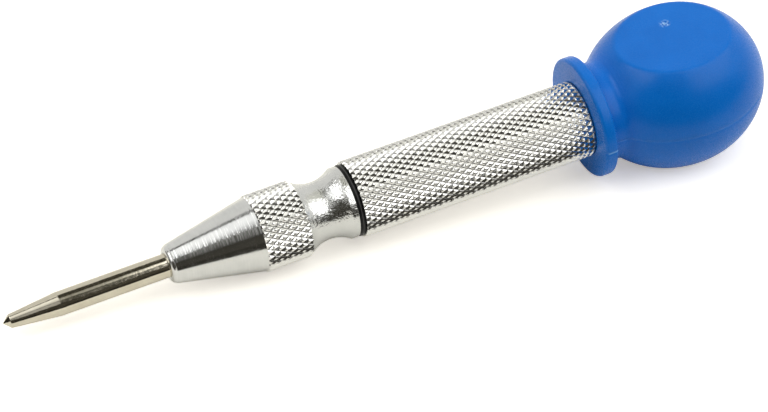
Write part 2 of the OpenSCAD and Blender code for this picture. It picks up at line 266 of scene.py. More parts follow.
# %% Cards round the table
DARK, DUSK, DIM = (0.045, 0.042, 0.036, 1), (0.07, 0.066, 0.056, 1), (0.09, 0.088, 0.085, 1)
ROOM_Y, ROOM_LOW, ROOM_STEP, ROOM_WIDE = -720, -60, 190, 1600
ROOM_TALL, ROOM_SHORT = 1200, 300
SIDE_X, SIDE_NEAR, SIDE_FAR, SIDE_TALL = -900, -300, 1000, 420
PAPER_END, EDGE_TALL = -55, 18


def dark_card(name, colour, corners):
    """A dull card round the table, seen by light and mirrors but not by the camera."""
    material = bpy.data.materials.new(name)
    material.use_nodes = True
    shader = material.node_tree.nodes["Principled BSDF"]
    shader.inputs["Base Color"].default_value = colour
    shader.inputs["Roughness"].default_value = 1
    shader.inputs["Specular IOR Level"].default_value = 0
    mesh = bpy.data.meshes.new(name)
    mesh.from_pydata([Vector(corner) * MM for corner in corners], [], [range(len(corners))])
    mesh.materials.append(material)
    card = bpy.data.objects.new(name, mesh)
    card.visible_camera = False
    scene.collection.objects.link(card)
    print(f"card {name}: {len(corners)} corners")
    return card


def upright(left, right_end, low, high):
    """Corners of a card that stands in front of the table."""
    return [(left, ROOM_Y, low), (right_end, ROOM_Y, low), (right_end, ROOM_Y, high), (left, ROOM_Y, high)]


dark_card("room_left", DUSK, upright(-ROOM_WIDE, ROOM_STEP, ROOM_LOW, ROOM_TALL))
dark_card("room_right", DIM, upright(ROOM_STEP, ROOM_WIDE, ROOM_LOW, ROOM_SHORT))
dark_card("room_side", DARK, [(SIDE_X, SIDE_NEAR, ROOM_LOW), (SIDE_X, SIDE_FAR, ROOM_LOW),
                              (SIDE_X, SIDE_FAR, SIDE_TALL), (SIDE_X, SIDE_NEAR, SIDE_TALL)])
edge_corners = ((-ROOM_WIDE, 0), (ROOM_WIDE, 0), (ROOM_WIDE, EDGE_TALL), (-ROOM_WIDE, EDGE_TALL))
paper_edge = dark_card("paper_edge", DARK,
                       [(x, PAPER_END, table_height(x) + lift) for x, lift in edge_corners])
paper_edge.visible_shadow = False

# %% [markdown]
# The cards overhead lie level with the lamps: a rim behind the left lamp, the gap between the lamps with
# its grey corner, a shade in front of them and a pale back on the right. Mirror rays pass through a lamp
# and go on, so a plate over the fading panels keeps the pale world from shining through.

# %% Cards between the lamps
CARD_DROP = 4
SHADE, CORNER, GREY = (0.13, 0.128, 0.118, 1), (0.46, 0.465, 0.455, 1), (0.85, 0.86, 0.84, 1)
RIM_PLAN = ((-480, 400), (-140, 265), (-40, 165), (8, 60), (8, 190), (-100, 360), (-480, 700))
GAP_PLAN = ((8, -5), (105, -40), (105, 430), (8, 430))
CORNER_PLAN = ((8, -6), (75, -32), (75, -242), (45, -245), (8, -285))
SHADE_PLAN = ((-480, -305), (-215, -285), (8, -286), (45, -246), (94, -240), (106, -340),
              (116, -430), (128, -530), (144, -650), (160, -1050), (-480, -1050))
PLATE_PLAN = ((-210, -290), (8, -290), (8, 340), (-210, 340))
BACK_PLAN = ((105, -95), (500, 45), (1400, 45), (1400, 450), (105, 450))

for name, colour, plan, lift in (("lamp_rim", DARK, RIM_PLAN, -CARD_DROP),
                                 ("lamp_gap", DUSK, GAP_PLAN, -CARD_DROP),
                                 ("lamp_corner", CORNER, CORNER_PLAN, -CARD_DROP),
                                 ("lamp_shade", SHADE, SHADE_PLAN, -CARD_DROP),
                                 ("lamp_plate", DARK, PLATE_PLAN, CARD_DROP),
                                 ("lamp_back", GREY, BACK_PLAN, -CARD_DROP)):
    dark_card(name, colour, [(x, y, LAMP_HEIGHT + lift) for x, y in plan])

# %% [markdown]
# ## Turning
# Nearly every piece came off a lathe, so the main helper is a lathe too: it takes an outline of places
# and radii and turns it about the tool's axis. A Screw modifier could do this, but points made directly
# keep the poles closed and the faces outward.

# %% The lathe
TURNED_SIDES = 192


def arc(place, radius, size, start, end, steps=8):
    """Points along an arc about (place, radius); 0 degrees is rearward, 90 is outward."""
    return [(place + size * math.cos(math.radians(angle)), radius + size * math.sin(math.radians(angle)))
            for angle in np.linspace(start, end, steps + 1)]


def turned(name, outline, closed=False, angles=TURNED_SIDES):
    """A mesh turned about the tool's axis; a closed outline comes back to its first point."""
    if isinstance(angles, int):
        angles = np.linspace(0, 2 * math.pi, angles, endpoint=False)
    points, rings, faces = [], [], []
    for place, radius in outline:
        turns = angles if radius > 0 else angles[:1]
        first = len(points)
        points += [(place * MM, radius * MM * math.sin(a), (axis_height + radius * math.cos(a)) * MM)
                   for a in turns]
        rings.append([first + i % len(turns) for i in range(len(angles))])
    following = rings[1:] + (rings[:1] if closed else [])
    for one, two in zip(rings, following):
        for i in range(len(angles)):
            j = (i + 1) % len(angles)
            corners = list(dict.fromkeys((one[i], two[i], two[j], one[j])))
            if len(corners) > 2:
                faces.append(corners)
    mesh = bpy.data.meshes.new(name)
    mesh.from_pydata(points, [], faces)
    return mesh


print(f"lathe: {TURNED_SIDES} sides unless a piece asks for others")

# %% [markdown]
# ## Placing a piece
# Each finished mesh needs the same things: its finishes, smooth shading that keeps the sharp edges, the
# body that it moves with and the solid that it stands for. That could be repeated for each piece; one
# helper does it, and prints the volume, which is negative if a mesh is inside out.

# %% Placing helper
def add_piece(name, mesh, body, slot, materials, *nodes, sharp):
    """Puts a finished mesh in the scene; edges over the sharp angle, in degrees, stay sharp."""
    chosen = [face.material_index for face in mesh.polygons]
    mesh.materials.clear()
    for material in materials:
        mesh.materials.append(material)
    mesh.polygons.foreach_set("material_index", [min(index, len(materials) - 1) for index in chosen])
    mesh.shade_smooth()
    mesh.set_sharp_from_angle(angle=math.radians(sharp))
    piece = bpy.data.objects.new(name, mesh)
    scene.collection.objects.link(piece)
    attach(piece, body)
    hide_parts(*nodes)
    measure = bmesh.new()
    measure.from_mesh(mesh)
    print(f"{name}: {len(mesh.polygons)} faces, {measure.calc_volume() / MM ** 3:.0f} cubic mm")
    measure.free()
    return piece


print("helper: add_piece")

# %% [markdown]
# ## Effects that several finishes share
# Five surface effects turn up again and again: soft clouds, round specks, the fine rings that a lathe
# leaves round a piece, the fine lines that run along a ground rod, and the height inside a knurl. Each
# material could hold its own nodes for them, but as node groups they are built once and placed with
# their own values. Four of them are one noise, each with its own stretch and detail.

# %% Groups made from a noise
NOISE_ROUGHNESS = 0.6
EVEN, ROUND_THE_PIECE, ALONG_THE_PIECE = (1, 1, 1), (1, 0.03, 0.03), (0.03, 1, 1)


def new_tree(name, kind, inputs, outputs):
    """A node tree with named sockets: the tree, what goes in and what comes out."""
    tree = bpy.data.node_groups.new(name, kind)
    for label, socket in inputs.items():
        tree.interface.new_socket(label, in_out="INPUT", socket_type="NodeSocket" + socket)
    for label, socket in outputs.items():
        tree.interface.new_socket(label, in_out="OUTPUT", socket_type="NodeSocket" + socket)
    print(f"tree {name} takes", ", ".join(inputs))
    return tree, tree.nodes.new("NodeGroupInput").outputs, tree.nodes.new("NodeGroupOutput").inputs


def object_place(tree, scale):
    """Object coordinates in millimetres, stretched by a scale along each axis."""
    place = tree.nodes.new("ShaderNodeTexCoord").outputs["Object"]
    return add_node(tree, "ShaderNodeVectorMath", {0: place, 1: [part / MM for part in scale]},
                    operation="MULTIPLY").outputs[0]


def streak_group(name, stretch, detail):
    """A group with one noise, stretched along the axes; Density says how many streaks a millimetre."""
    tree, given, result = new_tree(name, "ShaderNodeTree", {"Density": "Float"}, {"Value": "Float"})
    noise = add_node(tree, "ShaderNodeTexNoise",
                     {"Vector": object_place(tree, stretch), "Scale": given["Density"],
                      "Detail": detail, "Roughness": NOISE_ROUGHNESS})
    tree.links.new(noise.outputs[0], result["Value"])
    return tree


CLOUDS = streak_group("soft_clouds", EVEN, detail=4)
SPECKS = streak_group("fine_specks", EVEN, detail=1)
RINGS = streak_group("turning_rings", ROUND_THE_PIECE, detail=2)
LINES = streak_group("drawn_lines", ALONG_THE_PIECE, detail=3)

# %% [markdown]
# The fifth effect measures how far a point lies between two radii. It could be painted on the mesh as an
# attribute, but the knurl's own shape already holds it, so it is worked out from the coordinates.

# %% Group for the height in a knurl
def depth_group():
    """Height of a point between two radii about the tool's axis."""
    tree, given, result = new_tree("depth_in_knurl", "ShaderNodeTree",
                                   {"Groove": "Float", "Crest": "Float"}, {"Height": "Float"})
    parts = add_node(tree, "ShaderNodeSeparateXYZ", {0: object_place(tree, EVEN)}).outputs
    lift = calc(tree, "SUBTRACT", parts["Z"], axis_height)
    squares = calc(tree, "ADD", calc(tree, "MULTIPLY", lift, lift),
                   calc(tree, "MULTIPLY", parts["Y"], parts["Y"]))
    height = add_node(tree, "ShaderNodeMapRange",
                      {"Value": calc(tree, "SQRT", squares), "From Min": given["Groove"],
                       "From Max": given["Crest"]}, clamp=True)
    tree.links.new(height.outputs[0], result["Height"])
    return tree


DEPTH = depth_group()

# %% [markdown]
# ## Small helpers for materials
# Every finish is a Principled shader with plain values on some sockets and effects on others. The same
# few steps come back in each: place an effect, map its value to a range, mix two colours, make a bump.
# One short helper for each step lets a finish read like a recipe.

# %% Material helpers
def new_material(name, **constants):
    """A Principled material: the material, its tree and its shader, with plain values on its sockets."""
    material = bpy.data.materials.new(name)
    material.use_nodes = True
    shader = material.node_tree.nodes["Principled BSDF"]
    for label, value in constants.items():
        shader.inputs[label.replace("_", " ")].default_value = value
    print("finish:", name)
    return material, material.node_tree, shader


def effect(tree, group, **values):
    """Places a shared effect in a material and hands back its one output."""
    node = add_node(tree, "ShaderNodeGroup", node_tree=group)
    for label, value in values.items():
        node.inputs[label].default_value = value
    return node.outputs[0]


def spread(tree, value, low, high, start=0.3, end=0.7):
    """Maps a value from the range start to end to the range low to high, clamped."""
    return add_node(tree, "ShaderNodeMapRange",
                    {"Value": value, "From Min": start, "From Max": end,
                     "To Min": low, "To Max": high}).outputs[0]


def blend(tree, share, first, second):
    """Mixes two colours or colour sockets."""
    return add_node(tree, "ShaderNodeMix", {0: share, 6: first, 7: second}, data_type="RGBA").outputs[2]


def bump(tree, height, size, before=None):
    """A bump whose full height is a size in millimetres."""
    inputs = {"Height": height, "Distance": size * MM, "Strength": 1.0}
    if before:
        inputs["Normal"] = before
    return add_node(tree, "ShaderNodeBump", inputs).outputs[0]


def feed(tree, shader, **sockets):
    """Links colours, values and normals to a shader's inputs."""
    for label, socket in sockets.items():
        tree.links.new(socket, shader.inputs[label.replace("_", " ")])


print("helpers: new_material, effect, spread, blend, bump, feed")

# %% [markdown]
# ## Finish of the point
# The point is a ground rod with a nickel plating that looks a little warm, and the lines of grinding run
# along it. Lines could be modelled, but these are far too fine, so they are a bump and a change of
# colour. A mottle of specks breaks up the reflections.

# %% Warm nickel
NICKEL_DARK, NICKEL_PALE, NICKEL_LINE = (0.57, 0.53, 0.42, 1), (0.66, 0.62, 0.51, 1), (0.74, 0.70, 0.58, 1)


def point_finish():
    """Warm nickel with lengthwise lines and mottled wear."""
    material, tree, shader = new_material("warm_nickel", Metallic=1.0)
    clouds = effect(tree, CLOUDS, Density=0.35)
    mottle = effect(tree, SPECKS, Density=2.2)
    lines = effect(tree, LINES, Density=3.0)
    nickel = blend(tree, spread(tree, clouds, 0, 1), NICKEL_DARK, NICKEL_PALE)
    nickel = blend(tree, spread(tree, lines, 0, 0.5, start=0.5, end=0.7), nickel, NICKEL_LINE)
    feed(tree, shader, Base_Color=nickel, Roughness=spread(tree, mottle, 0.06, 0.13),
         Normal=bump(tree, lines, 0.007, before=bump(tree, mottle, 0.005)))
    return material


warm_nickel = point_finish()

# %% [markdown]
# ## The punch point
# The rod has a short sharp tip, a slim taper and, inside the nose, a head with a cup for the trip pin.
# It could be a cone joined to cylinders, but one outline on the lathe has no seams. Rings set close to
# the edges of tip and taper keep them crisp under smooth shading.

# %% Turned point
SHANK_R, TIP_R, TIP_L, TAPER_L = 2.0, 1.15, 1.15, 8.2
TIP_BLUNT_L, TIP_BLUNT_R, TIP_EDGE_L, TIP_EDGE = 0.05, 0.09, 0.06, 0.05
TAPER_RINGS, SHANK_EDGE = (0.02, 0.3, 0.6, 0.99, 1), 0.08
HEAD_R, HEAD_L, HEAD_EDGE, HEAD_FILLET, CUP_R = 3.8, 5.7, 0.3, 0.2, 1.6
POINT_SIDES = 128

taper_front = tip + TIP_L
head_front = point_end - HEAD_L
point_outline = (
    [(tip, 0), (tip + TIP_BLUNT_L, TIP_BLUNT_R),
     (taper_front - TIP_EDGE_L, TIP_R - TIP_EDGE), (taper_front + TIP_EDGE, TIP_R)]
    + [(taper_front + TAPER_L * step, TIP_R + (SHANK_R - TIP_R) * step) for step in TAPER_RINGS]
    + [(taper_front + TAPER_L + SHANK_EDGE, SHANK_R),
       (head_front - HEAD_FILLET, SHANK_R), (head_front, SHANK_R + HEAD_FILLET)]
    + arc(head_front + HEAD_EDGE, HEAD_R - HEAD_EDGE, HEAD_EDGE, 180, 90)
    + arc(point_end - HEAD_EDGE, HEAD_R - HEAD_EDGE, HEAD_EDGE, 90, 0)
    + arc(point_end, 0, CUP_R, 90, 180, steps=12)[:-1]
    + [(point_end - CUP_R, 0)])
add_piece("ground_point", turned("ground_point", point_outline, angles=POINT_SIDES), "point",
          "polished_steel", [warm_nickel], "punch_point", sharp=15)

# %% [markdown]
# ## One stud of the knurl
# The collar and the barrel carry a diamond knurl: two hands of grooves, thirty-six round, that leave a
# raised stud in every cell. A displaced cylinder would need a very fine mesh, so the knurl is built from
# one stud of twelve faces: a pyramid on a diamond, with flanks of about 45 degrees and a rounded top.

# %% Stud
STARTS, PITCH, KNURL_DEPTH = 36, 1.965, 0.31
GROOVE_R = BODY_R - KNURL_DEPTH
STUD_LEVELS = [(0.0, 0.0), (0.56, 0.88), (0.74, 0.985)]


def knurl_stud():
    """A domed diamond: each level has a way in from the groove and a height."""
    width = 2 * math.pi * BODY_R / STARTS
    shape = bmesh.new()
    rings = []
    for inset, height in STUD_LEVELS:
        half = (1 - inset) / 2
        square = [(half, -half), (half, half), (-half, half), (-half, -half)]
        rings.append([shape.verts.new(((s + t) / 2 * PITCH * MM, (t - s) / 2 * width * MM,
                                       (height - 1) * KNURL_DEPTH * MM)) for s, t in square])
    top = shape.verts.new((0, 0, 0))
    for i in range(4):
        j = (i + 1) % 4
        for low, high in zip(rings, rings[1:]):
            shape.faces.new((low[i], low[j], high[j], high[i]))
        shape.faces.new((rings[-1][i], rings[-1][j], top))
    bmesh.ops.recalc_face_normals(shape, faces=shape.faces)
    shape.normal_update()
    if sum(face.normal.z for face in shape.faces) < 0:
        bmesh.ops.reverse_faces(shape, faces=shape.faces)
    mesh = bpy.data.meshes.new("knurl_stud")
    shape.to_mesh(mesh)
    shape.free()
    return mesh


print(f"a stud has {len(knurl_stud().polygons)} faces")

# %% [markdown]
# ## A sheet of studs, rolled up
# A knurling wheel presses the same cell again and again, so Geometry Nodes lay copies of the stud out as
# a flat sheet: two grids, half a cell apart. Placing the copies straight on the cylinder would leave
# their edges flat and open, so the copies are made real, the sheet is welded, and then it is rolled.

# %% Nodes for the flat sheet
WELD_REACH = 2e-6


def stud_sheet(tree, given):
    """Two grids of studs, half a cell apart, made real and welded."""
    width = calc(tree, "DIVIDE", calc(tree, "MULTIPLY", given["Crest Radius"], 2 * math.pi),
                 given["Starts"])
    sheet_length = calc(tree, "MULTIPLY", given["Pitch"], calc(tree, "SUBTRACT", given["Rows"], 1))
    sheet_width = calc(tree, "MULTIPLY", width, calc(tree, "SUBTRACT", given["Starts"], 1))
    grid = add_node(tree, "GeometryNodeMeshGrid",
                    {"Size X": sheet_length, "Size Y": sheet_width,
                     "Vertices X": given["Rows"], "Vertices Y": given["Starts"]}).outputs["Mesh"]
    half_cell = add_node(tree, "ShaderNodeCombineXYZ",
                         {0: calc(tree, "MULTIPLY", given["Pitch"], 0.5),
                          1: calc(tree, "MULTIPLY", width, 0.5)})
    shifted = add_node(tree, "GeometryNodeTransform",
                       {"Geometry": grid, "Translation": half_cell.outputs[0]})
    both = tree.nodes.new("GeometryNodeJoinGeometry")
    tree.links.new(grid, both.inputs[0])
    tree.links.new(shifted.outputs[0], both.inputs[0])
    studs = add_node(tree, "GeometryNodeInstanceOnPoints",
                     {"Points": both.outputs[0], "Instance": given["Stud"]})
    sheet = add_node(tree, "GeometryNodeRealizeInstances", {"Geometry": studs.outputs[0]})
    return add_node(tree, "GeometryNodeMergeByDistance",
                    {"Geometry": sheet.outputs[0], "Distance": WELD_REACH}).outputs[0]


print(f"studs are welded within {WELD_REACH / MM} mm")

# %% [markdown]
# Rolling turns the way across the sheet into an angle and the height of the sheet into a radius, so the
# crests land on the barrel's own radius. The last row meets the first and is welded to it.

# %% Nodes that roll the sheet
def rolled_place(tree, given):
    """Where a point of the flat sheet goes when the sheet is rolled round the tool's axis."""
    place = tree.nodes.new("GeometryNodeInputPosition").outputs[0]
    flat = add_node(tree, "ShaderNodeSeparateXYZ", {0: place}).outputs
    turn = calc(tree, "DIVIDE", flat["Y"], given["Crest Radius"])
    radius = calc(tree, "ADD", flat["Z"], given["Crest Radius"])
    lift = calc(tree, "MULTIPLY", radius, calc(tree, "COSINE", turn))
    return add_node(tree, "ShaderNodeCombineXYZ",
                    {0: calc(tree, "ADD", flat["X"], given["Middle"]),
                     1: calc(tree, "MULTIPLY", radius, calc(tree, "SINE", turn)),
                     2: calc(tree, "ADD", lift, given["Axis Height"])}).outputs[0]


def knurl_tree():
    """Geometry Nodes: a sheet of studs, rolled round the tool's axis and closed."""
    tree, given, result = new_tree(
        "rolled_knurl", "GeometryNodeTree",
        {"Stud": "Geometry", "Starts": "Int", "Rows": "Int", "Pitch": "Float", "Crest Radius": "Float",
         "Middle": "Float", "Axis Height": "Float", "Finish": "Material"},
        {"Knurl": "Geometry"})
    tube = add_node(tree, "GeometryNodeSetPosition",
                    {"Geometry": stud_sheet(tree, given), "Position": rolled_place(tree, given)})
    closed = add_node(tree, "GeometryNodeMergeByDistance",
                      {"Geometry": tube.outputs[0], "Distance": WELD_REACH})
    finished = add_node(tree, "GeometryNodeSetMaterial",
                        {"Geometry": closed.outputs[0], "Material": given["Finish"]})
    tree.links.new(finished.outputs[0], result["Knurl"])
    return tree


KNURL = knurl_tree()

# %% [markdown]
# ## Running a tree
# A tree only works as a modifier on an object. The modifier could stay, but the frame wants plain meshes,
# so the object is evaluated, its mesh is kept, and object and modifier are taken away.

# %% Running helpers
def settle(thing):
    """Turns an object with modifiers into a plain mesh and takes the object away."""
    graph = bpy.context.evaluated_depsgraph_get()
    mesh = bpy.data.meshes.new_from_object(thing.evaluated_get(graph), depsgraph=graph)
    bpy.data.objects.remove(thing)
    return mesh


def grow(name, start, tree, values):
    """Runs a Geometry Nodes tree on a mesh, with its inputs set by their identifiers."""
    thing = bpy.data.objects.new(name, start)
    modifier = thing.modifiers.new(name, "NODES")
    modifier.node_group = tree
    for item in tree.interface.items_tree:
        if item.in_out == "INPUT" and item.name in values:
            modifier[item.identifier] = values[item.name]
    scene.collection.objects.link(thing)
    return settle(thing)


print("helpers: settle, grow")

# %% [markdown]
# ## Cutting the knurl
# On the real tool the knurl is pressed into the turned bar, so it ends where the bar's edges and grooves
# end. A sleeve of studs laid over the bar would end in a ragged rim. So the rolled sheet is closed into a
# rod and taken out of a plain ring, which leaves the chips, and the chips are taken from the bar.

# %% Cutting helpers
SPARE_ROWS = 3
CHIPS_INSIDE, CHIPS_OUTSIDE = 0.5, 1


def cut(mesh, tool):
    """Takes one closed mesh away from another."""
    bar, cutter = bpy.data.objects.new("bar", mesh), bpy.data.objects.new("cutter", tool)
    scene.collection.objects.link(bar)
    scene.collection.objects.link(cutter)
    modifier = bar.modifiers.new("cut", "BOOLEAN")
    modifier.operation = "DIFFERENCE"
    modifier.solver = "MANIFOLD"
    modifier.object = cutter
    result = settle(bar)
    bpy.data.objects.remove(cutter)
    return result


def knurled(mesh, front, rear, finish):
    """Cuts a knurl into a turned mesh between two places along the tool."""
    rows = math.ceil((rear - front) / PITCH) + SPARE_ROWS
    rod = grow("knurled_rod", knurl_stud(), KNURL,
               {"Starts": STARTS, "Rows": rows, "Pitch": PITCH * MM, "Crest Radius": BODY_R * MM,
                "Middle": (front + rear) / 2 * MM, "Axis Height": axis_height * MM, "Finish": finish})
    shape = bmesh.new()
    shape.from_mesh(rod)
    bmesh.ops.holes_fill(shape, edges=[edge for edge in shape.edges if edge.is_boundary])
    bmesh.ops.recalc_face_normals(shape, faces=shape.faces)
    shape.to_mesh(rod)
    shape.free()
    inner, outer = GROOVE_R - CHIPS_INSIDE, BODY_R + CHIPS_OUTSIDE
    ring = turned("chips", [(front, inner), (front, outer), (rear, outer), (rear, inner)], closed=True)
    print(f"knurl of {rows} rows from {front:.2f} to {rear:.2f}")
    return cut(mesh, cut(ring, rod))


print("helpers: cut, knurled")

# %% [markdown]
# ## Plated steel
# Nose and barrel are bright plated. On the cone the plating lies over turning rings, which draw the
# reflections out along the tool, and on the neck over fine specks, which break up its highlights. One
# roughness for both would look like paint, so rings and specks are bumps that lead the roughness too.

# %% Plating over rings or specks
PLATING_DARK, PLATING_PALE = (0.63, 0.64, 0.625, 1), (0.70, 0.705, 0.69, 1)
PLATING_RING = (0.77, 0.77, 0.76, 1)


def plated_finish(name, ring_size, grain_size, rough):
    """Bright plating over turning rings and fine grains, each with the height of its bump."""
    material, tree, shader = new_material(name, Metallic=1.0)
    clouds = effect(tree, CLOUDS, Density=0.3)
    grains = effect(tree, SPECKS, Density=2.4)
    colour = blend(tree, spread(tree, clouds, 0, 1), PLATING_DARK, PLATING_PALE)
    normal = bump(tree, grains, grain_size)
    leading = grains
    if ring_size:
        leading = effect(tree, RINGS, Density=6.0)
        coarse = effect(tree, RINGS, Density=1.6)
        colour = blend(tree, spread(tree, leading, 0, 0.45, start=0.48, end=0.7), colour, PLATING_RING)
        normal = bump(tree, coarse, ring_size, before=bump(tree, leading, ring_size / 2, before=normal))
    feed(tree, shader, Base_Color=colour, Roughness=spread(tree, leading, *rough), Normal=normal)
    return material


turned_plating = plated_finish("turned_plating", 0.03, 0.003, (0.06, 0.2))
bright_plating = plated_finish("bright_plating", 0, 0.07, (0.17, 0.26))

# %% [markdown]
# In the knurl the grooves are painted grey, as painted shade with a little dirt, and the crests are bright
# from wear. An even plating would lose the studs from afar, so the height inside the knurl leads both
# colour and roughness.

# %% Plating in the knurl
# The groove colour is painted shade with a little dirt; the crest colour is wear.
GROOVE_SHADE_AND_DIRT, CREST_BRIGHT = (0.66, 0.655, 0.635, 1), (0.82, 0.815, 0.79, 1)
KNURL_CLOUD = (0.66, 0.67, 0.64, 1)


def knurl_finish():
    """Plating painted grey in the grooves, as painted shade and a little dirt, and bright on the crests from
    wear.
    """
    material, tree, shader = new_material("knurl_plating", Metallic=1.0)
    height = effect(tree, DEPTH, Groove=GROOVE_R, Crest=BODY_R)
    clouds = effect(tree, CLOUDS, Density=0.8)
    grains = effect(tree, CLOUDS, Density=6.0)
    # Painted shade: darker towards the bottom of the grooves.
    colour = blend(tree, spread(tree, height, 0, 1, start=0.0, end=0.55), GROOVE_SHADE_AND_DIRT, CREST_BRIGHT)
    colour = blend(tree, spread(tree, clouds, 0, 0.35), colour, KNURL_CLOUD)
    feed(tree, shader, Base_Color=colour, Roughness=spread(tree, height, 0.20, 0.12, start=0.2, end=0.9),
         Normal=bump(tree, grains, 0.006))
    return material


knurl_plating = knurl_finish()

# %% [markdown]
# ## Outline of the nose
# The nose is turned from one bar: a cone with a rounded front, the knurled collar, a waisted neck with a
# rim, and a threaded spigot inside the barrel. Its bore guides the point. The neck could be drawn as a
# free curve, but a form tool cuts an arc, so where it starts and ends follows from the radii it joins.

# %% Nose outline
CONE_FRONT_R, CONE_ROUND, CONE_L = 3.15, 0.75, 15.2
CONE_RINGS = (0.8, CONE_L - 0.1, CONE_L)
COLLAR_STEP, COLLAR_L, COLLAR_CHAMFER = 0.22, 7.8, 0.175
NECK_R, NECK_GROOVE_R, RIM_R, RIM_ROUND = 4.9, 6.0, 6.05, 0.12
SPIGOT_R, SMALL_EDGE = 4.95, 0.3
NOSE_BORE_R, BORE_EDGE, NOSE_STOP_L, COUNTERBORE_R = 2.05, 0.12, 16.1, 3.9

collar_front = nose_front + CONE_L
neck_front = collar_front + COLLAR_L
neck_axis_r = NECK_R + NECK_GROOVE_R
neck_start_r = BODY_R - COLLAR_CHAMFER
neck_low = neck_front + math.sqrt(NECK_GROOVE_R ** 2 - (neck_axis_r - neck_start_r) ** 2)
neck_from = math.degrees(math.asin((neck_low - neck_front) / NECK_GROOVE_R))
neck_to = math.degrees(math.acos((neck_axis_r - RIM_R) / NECK_GROOVE_R))
cone_rear_r = BODY_R - COLLAR_STEP
cone_slope = math.degrees(math.atan((cone_rear_r - CONE_FRONT_R) / CONE_L))
nose_outline = (
    [(nose_front, NOSE_BORE_R + BORE_EDGE)]
    + arc(nose_front + CONE_ROUND, CONE_FRONT_R - CONE_ROUND, CONE_ROUND, 180, 90 + cone_slope)
    + [(nose_front + way, cone_rear_r - (CONE_L - way) * math.tan(math.radians(cone_slope)))
       for way in CONE_RINGS]
    + [(collar_front + COLLAR_STEP, BODY_R), (neck_front - COLLAR_CHAMFER, BODY_R)]
    + arc(neck_low, neck_axis_r, NECK_GROOVE_R, 270 - neck_from, 270 + neck_to, steps=40)
    + arc(seal_front - RIM_ROUND, RIM_R - RIM_ROUND, RIM_ROUND, 90, 0)
    + [(seal_front, SPIGOT_R), (nose_end - SMALL_EDGE, SPIGOT_R), (nose_end, SPIGOT_R - SMALL_EDGE),
       (nose_end, COUNTERBORE_R), (nose_front + NOSE_STOP_L, COUNTERBORE_R),
       (nose_front + NOSE_STOP_L, NOSE_BORE_R), (nose_front + BORE_EDGE, NOSE_BORE_R)])
print(f"cone slopes {cone_slope:.2f} degrees, neck is thinnest at {neck_low:.2f}")

# %% [markdown]
# ## The nose
# One piece carries three finishes: turned rings on the cone, the knurl's plating on the collar and specks
# on the neck. Three meshes would show seams, so the faces choose a finish by their place and radius.

# %% Turned and knurled nose
KNURLED_SIDES = 256
KNURL_SET, KNURL_PAST = 0.02, 0.4
GROOVE_MARGIN, SPIGOT_MARGIN, EDGE_MARGIN = 0.05, 0.2, 0.01
IN_KNURL, ON_NECK = 1, 2


def finish_between(mesh, front, rear, index, least=GROOVE_R - GROOVE_MARGIN):
    """Gives the faces between two places, outside a least radius, another material of the piece."""
    for face in mesh.polygons:
        middle = Vector(face.center) / MM
        radius = math.hypot(middle.y, middle.z - axis_height)
        if front < middle.x < rear and radius > least:
            face.material_index = index


nose_mesh = knurled(turned("plated_nose", nose_outline, closed=True, angles=KNURLED_SIDES),
                    collar_front + KNURL_SET, neck_front + KNURL_PAST, knurl_plating)
finish_between(nose_mesh, neck_front, nose_end, ON_NECK, SPIGOT_R - SPIGOT_MARGIN)
finish_between(nose_mesh, collar_front, neck_front + EDGE_MARGIN, IN_KNURL)
add_piece("plated_nose", nose_mesh, "barrel", "plated_steel",
          [turned_plating, knurl_plating, bright_plating], "nose_sleeve", sharp=30)

# %% [markdown]
# ## The seal ring
# A black rubber ring is squeezed between the rim of the nose and the barrel, so its section is a circle
# with flat sides, which a plain torus would not have. A faint mould line stands between two shallow
# grooves round its middle, and a thin band round its crest is painted paler, part wear and part a
# painted highlight.

# %% Rubber ring
SEAL_R, SEAL_BORE_R, SEAL_CREST_BAND, SEAL_SIDES = 6.12, 5.0, 0.03, 160
MOULD_LINE, LINE_NEAR, LINE_FAR = 0.03, 0.12, 0.25
RUBBER_BLACK, RUBBER_BLOOM = (0.003, 0.003, 0.003, 1), (0.008, 0.008, 0.008, 1)
# The paler crest colour is part wear and part a painted highlight along the crest.
RUBBER_CREST_WEAR_AND_SHEEN = (0.05, 0.05, 0.048, 1)


def rubber_finish():
    """Black rubber with a soft bloom and a paler crest band, part wear and part a painted highlight."""
    material, tree, shader = new_material("moulded_rubber", Specular_IOR_Level=0.15)
    clouds = effect(tree, CLOUDS, Density=1.2)
    grains = effect(tree, CLOUDS, Density=12.0)
    # Painted highlight with some wear: a thin paler band at the outermost radius of the ring.
    crest_wear_and_sheen = effect(tree, DEPTH, Groove=SEAL_R - SEAL_CREST_BAND, Crest=SEAL_R)
    black = blend(tree, spread(tree, clouds, 0, 1), RUBBER_BLACK, RUBBER_BLOOM)
    feed(tree, shader, Base_Color=blend(tree, crest_wear_and_sheen, black, RUBBER_CREST_WEAR_AND_SHEEN),
         Roughness=spread(tree, clouds, 0.28, 0.42), Normal=bump(tree, grains, 0.006))
    return material


section_r = (SEAL_R - SEAL_BORE_R) / 2
section_axis_r = SEAL_BORE_R + section_r
seal_middle = (seal_front + seal_end) / 2
reach = math.degrees(math.asin((seal_end - seal_front) / 2 / section_r))
crown = arc(seal_middle, section_axis_r, section_r, 90 + reach, 90 - reach, steps=14)
crown = [(place, radius - (MOULD_LINE if LINE_NEAR < abs(place - seal_middle) < LINE_FAR else 0))
         for place, radius in crown]
seal_outline = crown + arc(seal_middle, section_axis_r, section_r, 270 + reach, 270 - reach)
add_piece("rubber_ring", turned("rubber_ring", seal_outline, closed=True, angles=SEAL_SIDES), "barrel",
          "black_rubber", [rubber_finish()], "seal_ring", sharp=40)

# %% [markdown]
# ## The barrel
# The barrel is a tube: the return spring's chamber in front, a web with the cam hole that straightens
# the trip pin, and the hammer's bore behind. Its knurl runs from the seal ring to the grip, and a plain
# land and the rear thread go on inside the grip. It could be a tube with bores cut into it; one closed
# outline on the lathe gives outside and inside at once.

